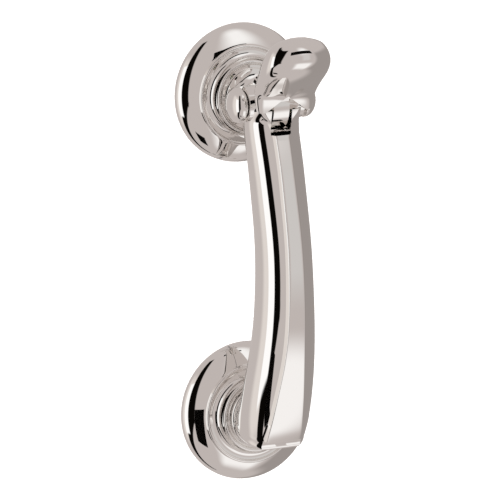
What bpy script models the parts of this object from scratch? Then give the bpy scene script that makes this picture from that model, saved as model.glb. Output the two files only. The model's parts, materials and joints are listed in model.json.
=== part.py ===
"""Pendant door knocker: two turned roses, a fixed hanger arm with a hooded head, and a swinging handle.

The door face is the plane y = 0 and the knocker stands out from it along -Y, with +Z up and the
origin at the centre of the upper rose. Distances out from the door are called reach, and points of
a side view are pairs (reach, height).
"""

import math
from typing import NamedTuple

import bmesh
import bpy
from mathutils import Vector

MM = 0.001

# Clearances
FIT_GAP = 0.3 * MM
SWING_GAP = 0.6 * MM

# Roses and what lies behind them
ROSE_SPACING = 142.8 * MM
ROSE_RADIUS = 31.0 * MM
ROSE_HEIGHT = 14.6 * MM
ROSE_RIM_HEIGHT = 0.9 * MM
FLANGE_HEIGHT = 7.8 * MM
FLANGE_SAG = 1.7 * MM
FLANGE_SPREAD = 5.4 * MM
FLANGE_SWELL = 2.5 * MM
OUTER_BEAD_RADIUS = 21.6 * MM
OUTER_BEAD_RISE = 1.7 * MM
COVE_RADIUS = 18.6 * MM
COVE_FLOOR = 0.6 * MM
INNER_BEAD_RADIUS = 15.6 * MM
BEAD_ROUND = 0.8 * MM
BEAD_GROOVE = 0.4 * MM
GASKET_MARGIN = 2.8 * MM
GASKET_WIDTH = 3.5 * MM
GASKET_THICKNESS = 1.0 * MM
PEG_RADIUS = 1.5 * MM
PEG_LENGTH = 9.0 * MM
PEG_SEAT = 4.0 * MM
PEG_OFFSET = 12.0 * MM

# Fixing through the door
DOOR_THICKNESS = 44.0 * MM
STUD_RADIUS = 2.5 * MM
STUD_SEAT = 8.0 * MM
INNER_WASHER_RADIUS = 6.0 * MM
INNER_WASHER_THICKNESS = 1.2 * MM
NUT_RADIUS = 4.6 * MM
NUT_HEX_HEIGHT = 4.0 * MM
NUT_DOME_HEIGHT = 3.4 * MM
NUT_THREAD_DEPTH = 5.0 * MM

# Striker on the lower rose
STRIKER_RADIUS = 13.8 * MM
STRIKER_HEIGHT = 2.4 * MM
STRIKER_ROUND = 1.2 * MM

# Pivot
PIVOT_REACH = 33.5 * MM
PIVOT_RISE = 1.0 * MM
PIN_RADIUS = 2.5 * MM
KNUCKLE_RADIUS = 12.2 * MM
KNUCKLE_WIDTH = 7.4 * MM
THRUST_WASHER_THICKNESS = 0.5 * MM
THRUST_WASHER_RADIUS = 6.5 * MM
BUSH_WALL = 1.4 * MM
COLLAR_RADIUS = 6.4 * MM
COLLAR_THICKNESS = 1.0 * MM
CAP_RADIUS = 8.0 * MM
CAP_BAND = 0.8 * MM
CAP_HEIGHT = 6.0 * MM
CAP_SEAT = 3.0 * MM
GRUB_RADIUS = 1.5 * MM
GRUB_LENGTH = 5.0 * MM

# Hanger arm
FLARE_RADIUS = 13.0 * MM
NECK_RADIUS = 7.4 * MM
FLARE_LENGTH = 6.2 * MM
HOOD_CLEARANCE = 0.6 * MM
NOTCH_HALF_WIDTH = 9.7 * MM
NOTCH_HEIGHT = 5.4 * MM
NOTCH_REACH = 24.0 * MM
FLARE_EDGE = 1.2 * MM
NECK_INSET = 0.2 * MM
NECK_EASE = 1.5 * MM

# Handle
EAR_RADIUS = 8.0 * MM
EAR_SPAN = 26.0 * MM
SHOULDER_RADIUS = 12.7 * MM
THROAT_DROP = 14.0 * MM
THROAT_REACH = 13.0 * MM
TOE_DROP = 8.6 * MM
TOE_DEPTH = 22.2 * MM
HEEL_EASE = 5.0 * MM
PANEL_LIFT = 1.8 * MM
PANEL_CHAMFER = 1.1 * MM
PANEL_LIP = 2.4 * MM
PANEL_STEP = 0.3 * MM
FOOT_ROUND = 2.2 * MM
WIDEST_SHARE = 0.575
ROUND_POWER = 0.95
HEEL_SQUARENESS = 0.55
SLOT_REACH = 25.0 * MM

# What follows from the sizes above
STRIKER_FACE = ROSE_HEIGHT + FIT_GAP + STRIKER_HEIGHT
HEEL_REACH = STRIKER_FACE + FIT_GAP
EAR_INNER = KNUCKLE_WIDTH / 2 + THRUST_WASHER_THICKNESS + 2 * FIT_GAP
EAR_OUTER = EAR_SPAN / 2
HOOD_RADIUS = SHOULDER_RADIUS + HOOD_CLEARANCE
BUSH_BORE = PIN_RADIUS + FIT_GAP
BUSH_RADIUS = BUSH_BORE + BUSH_WALL
COLLAR_START = EAR_OUTER + FIT_GAP
CAP_START = COLLAR_START + COLLAR_THICKNESS + FIT_GAP
PIN_HALF_LENGTH = CAP_START + CAP_SEAT - FIT_GAP
WASHER_START = DOOR_THICKNESS + FIT_GAP
NUT_START = WASHER_START + INNER_WASHER_THICKNESS + FIT_GAP

# Facets
ROSE_STEPS = 36
SMALL_STEPS = 24
HOOD_STEPS = 48
ROUND_STEPS = 3
RINGS_PER_STATION = 2
COVE_STEPS = 4
FLANGE_STEPS = 6
FACE_STEPS = 3
CHEEK_STEPS = 5
FLANK_STEPS = 6
BACK_STEPS = 6
MERGE = 0.01 * MM

OUTWARD = (math.radians(90), 0.0, 0.0)
INWARD = (math.radians(-90), 0.0, 0.0)
RIGHTWARD = (0.0, math.radians(90), 0.0)
LEFTWARD = (0.0, math.radians(-90), 0.0)
SIDES = (("left", LEFTWARD), ("right", RIGHTWARD))


class HandleStation(NamedTuple):
    """One section of the handle, from the throat (down = 0) to the toe (down = 1).

    Bow is the panel's reach beyond the straight line from throat to toe, and panel is its half width.
    """

    down: float
    bow: float
    depth: float
    rake: float
    half_width: float
    panel: float
    heel: float = 0.0


class ShoulderStation(NamedTuple):
    """One section above the throat: its front by turn and swell about the pivot, its back from the pivot."""

    turn: float
    swell: float
    back_reach: float
    back_height: float
    half_width: float
    panel: float


class HeadStation(NamedTuple):
    """One level section of the head, measured from the pivot.

    The shield is the head's face: its half width, and how far its edges fall behind its middle. Cheek
    is how far the flank beside it swells, and side is the reach of the widest line.
    """

    rise: float
    front: float
    back: float
    half_width: float
    shield: float
    drop: float
    cheek: float
    side: float


SHOULDER_STATIONS = (
    ShoulderStation(-8.0, 0.0 * MM, -6.4 * MM, -3.5 * MM, 12.6 * MM, 8.2 * MM),
    ShoulderStation(-16.0, 0.0 * MM, -7.4 * MM, -5.0 * MM, 12.8 * MM, 7.4 * MM),
    ShoulderStation(-24.0, 0.2 * MM, -8.0 * MM, -7.0 * MM, 12.8 * MM, 6.2 * MM),
    ShoulderStation(-33.0, 1.2 * MM, -8.4 * MM, -9.0 * MM, 12.6 * MM, 4.8 * MM),
    ShoulderStation(-41.0, 3.6 * MM, -8.6 * MM, -11.5 * MM, 12.5 * MM, 3.7 * MM),
)
HANDLE_STATIONS = (
    HandleStation(0.00, 0.0 * MM, 21.6 * MM, 0.0 * MM, 12.4 * MM, 3.0 * MM),
    HandleStation(0.09, 4.4 * MM, 22.4 * MM, 0.0 * MM, 12.4 * MM, 2.9 * MM),
    HandleStation(0.19, 8.4 * MM, 23.1 * MM, 0.0 * MM, 12.4 * MM, 3.0 * MM),
    HandleStation(0.33, 13.2 * MM, 24.0 * MM, 0.0 * MM, 12.5 * MM, 3.2 * MM),
    HandleStation(0.48, 15.4 * MM, 24.8 * MM, 0.0 * MM, 13.0 * MM, 3.5 * MM),
    HandleStation(0.61, 15.2 * MM, 25.2 * MM, 0.8 * MM, 13.8 * MM, 3.9 * MM),
    HandleStation(0.72, 13.0 * MM, 25.4 * MM, 2.0 * MM, 14.8 * MM, 4.8 * MM),
    HandleStation(0.83, 9.1 * MM, 25.2 * MM, 4.4 * MM, 15.7 * MM, 6.3 * MM),
)
FOOT_STATIONS = (
    HandleStation(0.92, 5.2 * MM, 0.0 * MM, 6.4 * MM, 15.9 * MM, 7.4 * MM, 0.4),
    HandleStation(0.96, 3.0 * MM, 0.0 * MM, 8.0 * MM, 15.7 * MM, 7.9 * MM, 0.8),
    HandleStation(1.00, 0.2 * MM, 0.0 * MM, 8.9 * MM, 15.2 * MM, 8.2 * MM, 1.0),
)
HEAD_STATIONS = (
    HeadStation(-1.5 * MM, 16.8 * MM, 10.6 * MM, 13.0 * MM, 0.3 * MM, 0.0 * MM, 1.5 * MM, 14.8 * MM),
    HeadStation(2.0 * MM, 17.6 * MM, 10.5 * MM, 13.7 * MM, 0.4 * MM, 0.0 * MM, 1.5 * MM, 15.0 * MM),
    HeadStation(5.4 * MM, 19.6 * MM, 10.4 * MM, 14.3 * MM, 1.6 * MM, 0.2 * MM, 1.2 * MM, 15.6 * MM),
    HeadStation(8.2 * MM, 23.0 * MM, 10.6 * MM, 14.8 * MM, 5.8 * MM, 0.7 * MM, 0.6 * MM, 17.0 * MM),
    HeadStation(11.0 * MM, 27.0 * MM, 11.3 * MM, 15.2 * MM, 9.0 * MM, 1.8 * MM, 0.2 * MM, 19.2 * MM),
    HeadStation(14.8 * MM, 32.4 * MM, 13.1 * MM, 15.6 * MM, 11.4 * MM, 3.0 * MM, 0.0 * MM, 22.8 * MM),
    HeadStation(18.0 * MM, 36.0 * MM, 14.6 * MM, 15.8 * MM, 12.6 * MM, 4.0 * MM, 0.0 * MM, 25.4 * MM),
    HeadStation(21.0 * MM, 38.2 * MM, 16.1 * MM, 15.7 * MM, 13.2 * MM, 4.8 * MM, 0.0 * MM, 27.2 * MM),
    HeadStation(24.0 * MM, 39.2 * MM, 18.2 * MM, 15.1 * MM, 13.0 * MM, 5.0 * MM, 0.0 * MM, 28.6 * MM),
    HeadStation(27.0 * MM, 38.9 * MM, 20.6 * MM, 13.9 * MM, 11.8 * MM, 4.8 * MM, 0.0 * MM, 29.5 * MM),
    HeadStation(29.6 * MM, 37.4 * MM, 22.6 * MM, 12.0 * MM, 8.6 * MM, 3.2 * MM, 0.0 * MM, 29.9 * MM),
    HeadStation(31.4 * MM, 35.2 * MM, 24.8 * MM, 9.1 * MM, 4.0 * MM, 1.0 * MM, 0.2 * MM, 30.0 * MM),
    HeadStation(32.9 * MM, 32.0 * MM, 28.2 * MM, 3.8 * MM, 0.3 * MM, 0.0 * MM, 0.0 * MM, 30.1 * MM),
)


def clear_scene():
    """Removes every object that the start-up scene holds."""
    for obj in list(bpy.data.objects):
        bpy.data.objects.remove(obj)


def new_collection(name):
    made = bpy.data.collections.new(name)
    bpy.context.scene.collection.children.link(made)
    return made


def new_material(name, colour, roughness, metallic):
    made = bpy.data.materials.new(name)
    made.use_nodes = True
    shader = made.node_tree.nodes["Principled BSDF"]
    shader.inputs["Base Color"].default_value = (*colour, 1.0)
    shader.inputs["Roughness"].default_value = roughness
    shader.inputs["Metallic"].default_value = metallic
    return made


def object_from(bm, name, collection, location=(0, 0, 0), rotation=(0, 0, 0), parent=None):
    mesh = bpy.data.meshes.new(name)
    bm.to_mesh(mesh)
    bm.free()
    obj = bpy.data.objects.new(name, mesh)
    collection.objects.link(obj)
    obj.location = location
    obj.rotation_euler = rotation
    obj.parent = parent
    return obj


def finish_part(obj, material):
    """Gives the piece its material and shades its round faces smooth."""
    obj.data.materials.append(material)
    obj.data.shade_smooth()
    obj.data.set_sharp_from_angle(angle=math.radians(35))
    return obj


def make_cutter(obj):
    obj.hide_render = True
    obj.display_type = "WIRE"
    return obj


def combine(obj, cutter, operation):
    modifier = obj.modifiers.new(cutter.name, "BOOLEAN")
    modifier.object = cutter
    modifier.operation = operation
    modifier.solver = "EXACT"


def arc(centre, radius, start, end, steps=ROUND_STEPS):
    """Points of an arc in a profile, with the angles in degrees."""
    angles = [math.radians(start + (end - start) * i / steps) for i in range(steps + 1)]
    return [(centre[0] + radius * math.cos(a), centre[1] + radius * math.sin(a)) for a in angles]


def bezier(points, steps):
    """Points along a Bezier curve through its first and last control points."""
    made = []
    for i in range(steps + 1):
        level = points
        while len(level) > 1:
            level = [
                (a[0] + (b[0] - a[0]) * i / steps, a[1] + (b[1] - a[1]) * i / steps)
                for a, b in zip(level, level[1:])
            ]
        made.append(level[0])
    return made


def turned(name, profile, collection, steps=SMALL_STEPS, closed=True, **place):
    """A profile of (radius, height) points turned about its own Z axis."""
    bm = bmesh.new()
    points = [bm.verts.new((radius, 0, height)) for radius, height in profile]
    for first, second in zip(points, points[1:]):
        bm.edges.new((first, second))
    if closed:
        bm.edges.new((points[-1], points[0]))
    obj = object_from(bm, name, collection, **place)
    screw = obj.modifiers.new("turn", "SCREW")
    screw.steps = steps
    screw.render_steps = steps
    screw.use_merge_vertices = True
    screw.merge_threshold = MERGE
    return obj


def tube(name, bore, radius, low, high, collection, **place):
    profile = [(bore, high), (radius, high), (radius, low), (bore, low)]
    return turned(name, profile, collection, **place)


def rod(name, radius, low, high, collection, **place):
    profile = [(0, high), (radius, high), (radius, low), (0, low)]
    return turned(name, profile, collection, closed=False, **place)


def extruded(name, outline, half_width, collection, **place):
    """A side outline of (reach, height) points, carried half_width to each side along X."""
    bm = bmesh.new()
    side = [bm.verts.new((-half_width, -reach, height)) for reach, height in outline]
    face = bm.faces.new(side)
    moved = bmesh.ops.extrude_face_region(bm, geom=[face])["geom"]
    new_points = [item for item in moved if isinstance(item, bmesh.types.BMVert)]
    bmesh.ops.translate(bm, verts=new_points, vec=(2 * half_width, 0, 0))
    bmesh.ops.recalc_face_normals(bm, faces=bm.faces)
    return object_from(bm, name, collection, **place)


def loft(name, rings, collection, **place):
    """A closed skin over rings with equal numbers of points, with a flat face at each end."""
    bm = bmesh.new()
    rows = [[bm.verts.new(point) for point in ring] for ring in rings]
    for upper, lower in zip(rows, rows[1:]):
        for i, point in enumerate(upper):
            before = i - 1
            bm.faces.new((upper[before], point, lower[i], lower[before]))
    bm.faces.new(rows[0])
    bm.faces.new(rows[-1])
    bmesh.ops.recalc_face_normals(bm, faces=bm.faces)
    return object_from(bm, name, collection, **place)


def smooth_path(stations, steps):
    """Stations with steps spans between each pair, on a Catmull-Rom curve through all of them."""
    ends = (stations[0], *stations, stations[-1])
    made = []
    for before, start, end, after in zip(ends, ends[1:], ends[2:], ends[3:]):
        for i in range(steps):
            t = i / steps
            made.append(type(start)(*(catmull_rom(*four, t) for four in zip(before, start, end, after))))
    return [*made, stations[-1]]


def catmull_rom(before, start, end, after, t):
    linear = end - before
    square = 2 * before - 5 * start + 4 * end - after
    cube = 3 * (start - end) + after - before
    return start + (linear * t + square * t * t + cube * t**3) / 2


def mirrored(half):
    """A whole ring from its x >= 0 half, which starts and ends on the centre plane."""
    return half + [(-x, depth) for x, depth in reversed(half[1:-1])]


def power(value, exponent):
    return max(value, 0.0) ** exponent


def placed(ring, front, back):
    """Puts a flat ring of (x, depth) points in the side view's plane, with depth from front towards back."""
    length = math.dist(front, back)
    reach_step = (back[0] - front[0]) / length
    height_step = (back[1] - front[1]) / length
    return [
        Vector((x, -(front[0] + reach_step * depth), front[1] + height_step * depth)) for x, depth in ring
    ]


# Roses


def bead(radius, top):
    """A half-round bead as a stretch of a profile, from its inner foot to its outer foot."""
    return arc((radius, top - BEAD_ROUND), BEAD_ROUND, 180, 0)


def rose_profile():
    """The turned section of a rose, out across its front and back behind it."""
    outer = OUTER_BEAD_RADIUS
    inner = INNER_BEAD_RADIUS
    outer_top = FLANGE_HEIGHT + OUTER_BEAD_RISE
    foot = outer + BEAD_ROUND + BEAD_GROOVE
    groove_outer = ROSE_RADIUS - GASKET_MARGIN
    groove_inner = groove_outer - GASKET_WIDTH - 2 * FIT_GAP
    groove_depth = GASKET_THICKNESS + FIT_GAP
    bore = STUD_RADIUS + FIT_GAP
    cove = [
        (inner + BEAD_ROUND, ROSE_HEIGHT - 2 * BEAD_ROUND),
        (inner + BEAD_ROUND, outer_top),
        (COVE_RADIUS, FLANGE_HEIGHT + COVE_FLOOR),
        (outer - BEAD_ROUND, outer_top - BEAD_ROUND),
    ]
    flange = [
        (foot, FLANGE_HEIGHT),
        (foot + FLANGE_SPREAD - BEAD_ROUND - BEAD_GROOVE, FLANGE_HEIGHT - FLANGE_SAG),
        (ROSE_RADIUS, ROSE_RIM_HEIGHT + FLANGE_SWELL),
        (ROSE_RADIUS, ROSE_RIM_HEIGHT),
    ]
    return [
        (bore, ROSE_HEIGHT),
        (inner - BEAD_ROUND - BEAD_GROOVE, ROSE_HEIGHT),
        *bead(inner, ROSE_HEIGHT),
        *bezier(cove, COVE_STEPS)[:-1],
        *bead(outer, outer_top),
        *bezier(flange, FLANGE_STEPS),
        (ROSE_RADIUS, 0),
        (groove_outer, 0),
        (groove_outer, groove_depth),
        (groove_inner, groove_depth),
        (groove_inner, 0),
        (bore, 0),
    ]


def make_rose(name, height, collection, cutters):
    """A rose with the blind hole of its locating peg."""
    rose = turned(
        name,
        rose_profile(),
        collection,
        steps=ROSE_STEPS,
        location=(0, 0, height),
        rotation=OUTWARD,
    )
    hole = rod(
        name + "_peg_hole",
        PEG_RADIUS + FIT_GAP,
        -PEG_SEAT,
        PEG_SEAT,
        cutters,
        location=(0, 0, height + PEG_OFFSET),
        rotation=OUTWARD,
    )
    combine(rose, make_cutter(hole), "DIFFERENCE")
    return rose


def make_gasket(name, height, collection):
    outer = ROSE_RADIUS - GASKET_MARGIN - FIT_GAP
    return tube(
        name,
        outer - GASKET_WIDTH,
        outer,
        0,
        GASKET_THICKNESS,
        collection,
        steps=ROSE_STEPS,
        location=(0, 0, height),
        rotation=OUTWARD,
    )


def make_peg(name, height, collection):
    return rod(
        name,
        PEG_RADIUS,
        PEG_SEAT - FIT_GAP - PEG_LENGTH,
        PEG_SEAT - FIT_GAP,
        collection,
        location=(0, 0, height + PEG_OFFSET),
        rotation=OUTWARD,
    )


def make_striker(collection):
    """The round button that the handle's heel strikes, with a blind hole for the stud."""
    base = ROSE_HEIGHT + FIT_GAP
    middle = (STRIKER_RADIUS - STRIKER_ROUND, STRIKER_FACE - STRIKER_ROUND)
    rounded = arc(middle, STRIKER_ROUND, 90, 0)
    bore = STUD_RADIUS + FIT_GAP
    roof = base + STRIKER_HEIGHT / 2
    profile = [(0, STRIKER_FACE), *rounded, (STRIKER_RADIUS, base), (bore, base), (bore, roof), (0, roof)]
    return turned(
        "striker_button",
        profile,
        collection,
        steps=ROSE_STEPS,
        closed=False,
        location=(0, 0, -ROSE_SPACING),
        rotation=OUTWARD,
    )


# Fixing through the door


def make_stud(name, height, tip, collection):
    """A threaded stud from its seat at the reach tip back to the dome nut."""
    end = NUT_START + NUT_THREAD_DEPTH - FIT_GAP
    return rod(name, STUD_RADIUS, -end, tip, collection, location=(0, 0, height), rotation=OUTWARD)


def make_inner_washer(name, height, collection):
    return tube(
        name,
        STUD_RADIUS + FIT_GAP,
        INNER_WASHER_RADIUS,
        WASHER_START,
        WASHER_START + INNER_WASHER_THICKNESS,
        collection,
        location=(0, 0, height),
        rotation=INWARD,
    )


def make_dome_nut(name, height, collection, cutters):
    """A hexagon nut with a turned dome, drilled blind for the stud."""
    bm = bmesh.new()
    bmesh.ops.create_cone(
        bm, cap_ends=True, segments=6, radius1=NUT_RADIUS, radius2=NUT_RADIUS, depth=NUT_HEX_HEIGHT
    )
    bmesh.ops.translate(bm, verts=bm.verts, vec=(0, 0, NUT_START + NUT_HEX_HEIGHT / 2))
    nut = object_from(bm, name, collection, location=(0, 0, height), rotation=INWARD)
    dome_radius = NUT_RADIUS * math.cos(math.radians(30)) - FIT_GAP
    top = NUT_START + NUT_HEX_HEIGHT
    curve = [
        (dome_radius * math.sin(math.radians(a)), top + NUT_DOME_HEIGHT * math.cos(math.radians(a)))
        for a in range(0, 91, 18)
    ]
    profile = [*curve, (dome_radius, NUT_START + NUT_HEX_HEIGHT / 2), (0, NUT_START + NUT_HEX_HEIGHT / 2)]
    dome = turned(
        name + "_dome", profile, cutters, closed=False, location=(0, 0, height), rotation=INWARD
    )
    combine(nut, make_cutter(dome), "UNION")
    hole = rod(
        name + "_thread",
        STUD_RADIUS + FIT_GAP,
        NUT_START - FIT_GAP,
        NUT_START + NUT_THREAD_DEPTH,
        cutters,
        location=(0, 0, height),
        rotation=INWARD,
    )
    combine(nut, make_cutter(hole), "DIFFERENCE")
    return nut


# Pivot


def make_pin(collection, pivot):
    return rod(
        "pivot_pin",
        PIN_RADIUS,
        -PIN_HALF_LENGTH,
        PIN_HALF_LENGTH,
        collection,
        location=pivot,
        rotation=RIGHTWARD,
    )


def make_cap(side, rotation, collection, pivot):
    """A domed end cap, drilled blind for the pin's end."""
    band = CAP_START + CAP_BAND
    dome = [
        (CAP_RADIUS * math.sin(math.radians(a)), band + (CAP_HEIGHT - CAP_BAND) * math.cos(math.radians(a)))
        for a in range(0, 91, 15)
    ]
    bore = PIN_RADIUS + FIT_GAP
    roof = CAP_START + CAP_SEAT
    profile = [*dome, (CAP_RADIUS, CAP_START), (bore, CAP_START), (bore, roof), (0, roof)]
    return turned(
        "pivot_cap_" + side, profile, collection, closed=False, location=pivot, rotation=rotation
    )


def make_pivot_ring(name, radius, start, thickness, rotation, collection, **place):
    return tube(
        name, BUSH_BORE, radius, start, start + thickness, collection, rotation=rotation, **place
    )


def make_grub_screw(collection, pivot):
    top = PIVOT_RISE - PIN_RADIUS - 2 * FIT_GAP
    return rod("grub_screw", GRUB_RADIUS, top - GRUB_LENGTH, top, collection, location=(0, pivot[1], 0))


# Hanger arm


def flare_profile():
    """The arm's foot on the upper rose: a cove from the wide foot to the neck."""
    base = ROSE_HEIGHT + FIT_GAP
    cove = [
        (FLARE_RADIUS, base + FLARE_EDGE),
        (NECK_RADIUS, base + FLARE_EDGE),
        (NECK_RADIUS, base + FLARE_LENGTH),
    ]
    end = PIVOT_REACH - EAR_RADIUS - 2 * SWING_GAP
    return [
        (0, end),
        (NECK_RADIUS - NECK_EASE, end),
        *reversed(bezier(cove, COVE_STEPS)),
        (FLARE_RADIUS, base),
        (0, base),
    ]


def blade_outline():
    """The flat neck's side outline, from inside the flare to inside the head."""
    root = ROSE_HEIGHT + FIT_GAP + FLARE_LENGTH / 2
    front = PIVOT_REACH + KNUCKLE_RADIUS
    notch = PIVOT_RISE + NOTCH_HEIGHT
    low = PIVOT_RISE - NECK_RADIUS + NECK_EASE
    high = PIVOT_RISE + NECK_RADIUS - NECK_EASE
    return [
        (root, low),
        (PIVOT_REACH, low),
        (front - FIT_GAP, PIVOT_RISE),
        (front + SWING_GAP, notch),
        (front + KNUCKLE_RADIUS / 2, notch + KNUCKLE_RADIUS / 2),
        (front, notch + FLARE_LENGTH),
        (PIVOT_REACH, PIVOT_RISE + KNUCKLE_RADIUS),
        (root, high),
    ]


def head_half(station):
    """Half a level section of the head, as (x, depth) points: shield, cheek and back."""
    depth = station.front - station.back
    middle = station.front - station.side
    shares = [i / FACE_STEPS for i in range(FACE_STEPS)]
    face = [(station.shield * share, station.drop * share**2) for share in shares]
    swell = station.drop + (middle - station.drop) / 3 - station.cheek
    cheek = [(station.shield, station.drop), (station.half_width, swell), (station.half_width, middle)]
    rear = []
    for i in range(1, BACK_STEPS + 1):
        angle = math.pi / 2 * i / BACK_STEPS
        rear.append((station.half_width * math.cos(angle), middle + (depth - middle) * math.sin(angle)))
    rear[-1] = (0.0, depth)
    return face + bezier(cheek, CHEEK_STEPS) + rear


def make_head(collection, pivot):
    """The hood's skirt and the rounded head, lofted through level sections."""
    rings = []
    for station in smooth_path(HEAD_STATIONS, RINGS_PER_STATION):
        front = (station.front, station.rise)
        back = (station.back, station.rise)
        rings.append(placed(mirrored(head_half(station)), front, back))
    return loft("hanger_arm", rings, collection, location=pivot)


def make_arm(collection, cutters, pivot):
    """The fixed casting: head, flat neck, knuckle and flared foot."""
    arm = make_head(collection, pivot)
    along_pin = {"location": pivot, "rotation": RIGHTWARD}
    sweep = rod("hood_sweep", HOOD_RADIUS, -EAR_SPAN, EAR_SPAN, cutters, steps=HOOD_STEPS, **along_pin)
    combine(arm, make_cutter(sweep), "DIFFERENCE")
    combine(arm, make_cutter(make_notch(cutters)), "DIFFERENCE")
    flare = turned("arm_flare", flare_profile(), cutters, steps=ROSE_STEPS, closed=False, rotation=OUTWARD)
    combine(arm, make_cutter(flare), "UNION")
    half = KNUCKLE_WIDTH / 2
    blade = extruded("arm_blade", blade_outline(), half - NECK_INSET, cutters)
    combine(arm, make_cutter(blade), "UNION")
    knuckle = rod("arm_knuckle", KNUCKLE_RADIUS, -half, half, cutters, steps=ROSE_STEPS, **along_pin)
    combine(arm, make_cutter(knuckle), "UNION")
    bore = rod("pin_bore", BUSH_BORE, -EAR_SPAN, EAR_SPAN, cutters, **along_pin)
    combine(arm, make_cutter(bore), "DIFFERENCE")
    top = ROSE_HEIGHT + FIT_GAP + STUD_SEAT
    seat = rod("stud_seat", STUD_RADIUS + FIT_GAP, 0, top, cutters, rotation=OUTWARD)
    combine(arm, make_cutter(seat), "DIFFERENCE")
    grub = rod("grub_hole", GRUB_RADIUS + FIT_GAP, -2 * KNUCKLE_RADIUS, 0, cutters, location=pivot)
    combine(arm, make_cutter(grub), "DIFFERENCE")
    return arm


def make_notch(collection):
    """The inverted V that opens the skirt in front of the knuckle."""
    bm = bmesh.new()
    low = PIVOT_RISE + HEAD_STATIONS[0].rise
    outline = [
        (0, PIVOT_RISE + NOTCH_HEIGHT),
        (NOTCH_HALF_WIDTH, low),
        (NOTCH_HALF_WIDTH, low - NOTCH_HEIGHT),
        (-NOTCH_HALF_WIDTH, low - NOTCH_HEIGHT),
        (-NOTCH_HALF_WIDTH, low),
    ]
    face = bm.faces.new([bm.verts.new((x, -PIVOT_REACH - NOTCH_REACH, z)) for x, z in outline])
    moved = bmesh.ops.extrude_face_region(bm, geom=[face])["geom"]
    new_points = [item for item in moved if isinstance(item, bmesh.types.BMVert)]
    bmesh.ops.translate(bm, verts=new_points, vec=(0, NOTCH_REACH, 0))
    bmesh.ops.recalc_face_normals(bm, faces=bm.faces)
    return object_from(bm, "skirt_notch", collection)


# Handle


def handle_half(station, depth, lift):
    """Half a section of the handle, as (x, depth) points: raised panel, chamfer, flank and back."""
    widest = depth * WIDEST_SHARE
    edge = station.panel + PANEL_CHAMFER
    start = math.acos(edge / station.half_width)
    reach = (widest - lift) / math.sin(start)
    half = [(0.0, 0.0), (station.panel / 2, 0.0), (station.panel, 0.0)]
    for i in range(FLANK_STEPS + 1):
        angle = start * (1 - i / FLANK_STEPS)
        half.append((station.half_width * math.cos(angle), widest - reach * math.sin(angle)))
    squareness = ROUND_POWER - HEEL_SQUARENESS * min(max(station.heel, 0.0), 1.0)
    for i in range(1, BACK_STEPS):
        angle = math.pi / 2 * i / BACK_STEPS
        x = station.half_width * power(math.cos(angle), squareness)
        half.append((x, widest + (depth - widest) * power(math.sin(angle), squareness)))
    return [*half, (0.0, depth)]


def shoulder_rings():
    """The rings above the throat, whose front edge is an arc about the pivot."""
    rings = []
    for station in SHOULDER_STATIONS:
        radius = SHOULDER_RADIUS + station.swell
        angle = math.radians(station.turn)
        front = (radius * math.cos(angle), radius * math.sin(angle))
        back = (station.back_reach, station.back_height)
        section = HandleStation(0.0, 0.0, 0.0, 0.0, station.half_width, station.panel)
        half = handle_half(section, math.dist(front, back), PANEL_LIFT)
        rings.append(placed(mirrored(half), front, back))
    return rings


def handle_front(station):
    """Where the panel of a station stands, from the pivot."""
    toe_reach = HEEL_REACH - PIVOT_REACH + TOE_DEPTH
    toe_height = -ROSE_SPACING - PIVOT_RISE - TOE_DROP
    reach = THROAT_REACH + (toe_reach - THROAT_REACH) * station.down + station.bow
    return reach, -THROAT_DROP + (toe_height + THROAT_DROP) * station.down


def handle_ring(station, lift):
    """One ring below the throat, with its back no nearer the door than the striker allows."""
    reach, height = handle_front(station)
    front = (reach - PANEL_LIFT + lift, height)
    back = (max(reach - station.depth, HEEL_REACH - PIVOT_REACH), height + station.rake)
    return placed(mirrored(handle_half(station, math.dist(front, back), lift)), front, back)


def foot_stations():
    """The last stations, with their depth taken to the heel's face."""
    heel = HEEL_REACH - PIVOT_REACH
    made = []
    for station in FOOT_STATIONS:
        spare = (1 - station.heel) * HEEL_EASE
        made.append(station._replace(depth=handle_front(station)[0] - heel - spare))
    return made


def rounded_foot(ring):
    """Rings that round the foot off below its last section."""
    middle = sum(ring, Vector()) / len(ring)
    width = max(point.x for point in ring)
    made = []
    for i in range(1, ROUND_STEPS + 1):
        angle = math.pi / 2 * i / ROUND_STEPS
        inset = FOOT_ROUND * (1 - math.cos(angle)) / width
        drop = Vector((0, 0, -FOOT_ROUND * math.sin(angle)))
        made.append([middle + (point - middle) * (1 - inset) + drop for point in ring])
    return made


def make_handle(collection, cutters, pivot, axis):
    """The swinging handle, whose two ears take the pivot's bushes."""
    stations = smooth_path((*HANDLE_STATIONS, *foot_stations()), RINGS_PER_STATION)
    length = ROSE_SPACING + PIVOT_RISE + TOE_DROP - THROAT_DROP
    lip = 1 - PANEL_LIP / length
    last = stations[-1]
    rings = shoulder_rings()
    rings += [handle_ring(station, PANEL_LIFT) for station in stations if station.down < lip]
    rings.append(handle_ring(last._replace(down=lip), PANEL_LIFT))
    rings.append(handle_ring(last._replace(down=lip + PANEL_STEP / length), 0.0))
    rings.append(handle_ring(last, 0.0))
    rings += rounded_foot(rings[-1])
    handle = loft("handle_bar", rings, collection, parent=axis)
    along_pin = {"location": pivot, "rotation": RIGHTWARD}
    ears = rod("handle_ears", EAR_RADIUS, -EAR_OUTER, EAR_OUTER, cutters, steps=ROSE_STEPS, **along_pin)
    combine(handle, make_cutter(ears), "UNION")
    floor = PIVOT_RISE - KNUCKLE_RADIUS - SWING_GAP
    roof = floor + 3 * EAR_RADIUS
    back = PIVOT_REACH - SLOT_REACH
    front = PIVOT_REACH + SLOT_REACH
    outline = [(back, floor), (front, floor), (front, roof), (back, roof)]
    combine(handle, make_cutter(extruded("knuckle_slot", outline, EAR_INNER, cutters)), "DIFFERENCE")
    bore = rod("ear_bore", BUSH_RADIUS + FIT_GAP, -EAR_SPAN, EAR_SPAN, cutters, **along_pin)
    combine(handle, make_cutter(bore), "DIFFERENCE")
    return handle


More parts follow.
